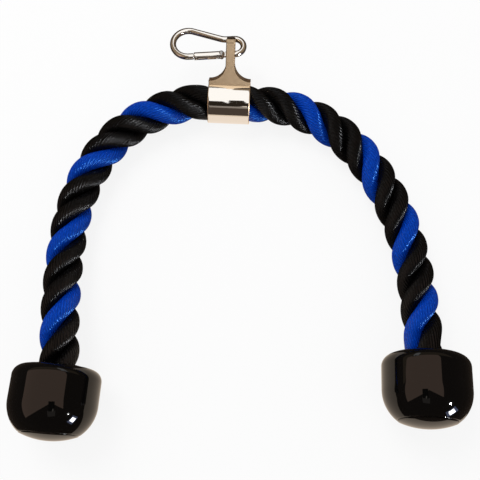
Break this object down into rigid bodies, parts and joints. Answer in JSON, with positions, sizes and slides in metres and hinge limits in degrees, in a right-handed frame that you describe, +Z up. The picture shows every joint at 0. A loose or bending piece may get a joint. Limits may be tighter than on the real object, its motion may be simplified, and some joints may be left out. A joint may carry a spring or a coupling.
{
  "type": "triceps rope attachment",
  "caption": "Cable machine rope attachment: thick laid rope through a metal collar with an eyed lug and snap hook, and a hollow cap on each rope end.",
  "frame": {"origin": "middle of the bounding box of everything but the rope, at the surface that the part lies on", "axes": "+X to the right, from the left cap to the right cap; +Y away from the caps, towards the snap hook; +Z up"},
  "size_m": [0.3466, 0.3304, 0.0696],
  "materials": {
    "laid_rope": "black and blue laid synthetic rope",
    "polished_collar": "polished plate",
    "plated_wire": "bright plate",
    "zinc_steel": "zinc plate",
    "black_cap": "glossy black"
  },
  "bodies": {
    "collar": {"rope_collar": "polished_collar", "rope_centre": "laid_rope"},
    "left_leg": {"rope_left": "laid_rope", "left_cap_shell": "black_cap", "left_cap_plug": "black_cap", "left_washer": "zinc_steel", "left_ferrule": "zinc_steel"},
    "right_leg": {"rope_right": "laid_rope", "right_cap_shell": "black_cap", "right_cap_plug": "black_cap", "right_washer": "zinc_steel", "right_ferrule": "zinc_steel"},
    "snap_hook": {"carabiner_hook": "plated_wire"},
    "gate": {"carabiner_gate": "plated_wire", "gate_rivet": "zinc_steel", "gate_spring": "zinc_steel"},
    "plunger": {"gate_plunger": "zinc_steel"}
  },
  "joints": [
    {"name": "left_leg_bend", "type": "hinge", "parent": "collar", "child": "left_leg", "pos_m": [-0.07788, 0.09576, 0.01596], "axis": [0, 0, 1], "range_deg": [-50, 24]},
    {"name": "right_leg_bend", "type": "hinge", "parent": "collar", "child": "right_leg", "pos_m": [0.05849, 0.09567, 0.01596], "axis": [0, 0, 1], "range_deg": [-24, 50]},
    {"name": "carabiner_swing", "type": "hinge", "parent": "collar", "child": "snap_hook", "pos_m": [-0.00841, 0.14015, 0.03999], "axis": [0.9982, 0.0593, 0], "range_deg": [-90, 10]},
    {"name": "gate_open", "type": "hinge", "parent": "snap_hook", "child": "gate", "pos_m": [-0.0159, 0.13971, 0.03999], "axis": [0.009, -0.151, -0.9885], "range_deg": [0, 40], "stiffness_Nm_per_rad": 0.05, "springref_deg": -28.65},
    {"name": "plunger_travel", "type": "slide", "parent": "gate", "child": "plunger", "axis": [-0.9982, -0.0593, 0], "range_m": [0, 0.00105], "deforming": ["gate_spring"]}
  ],
  "couplings": [
    {"joint": "plunger_travel", "follows": "gate_open", "m_per_rad": 0.00145}
  ]
}
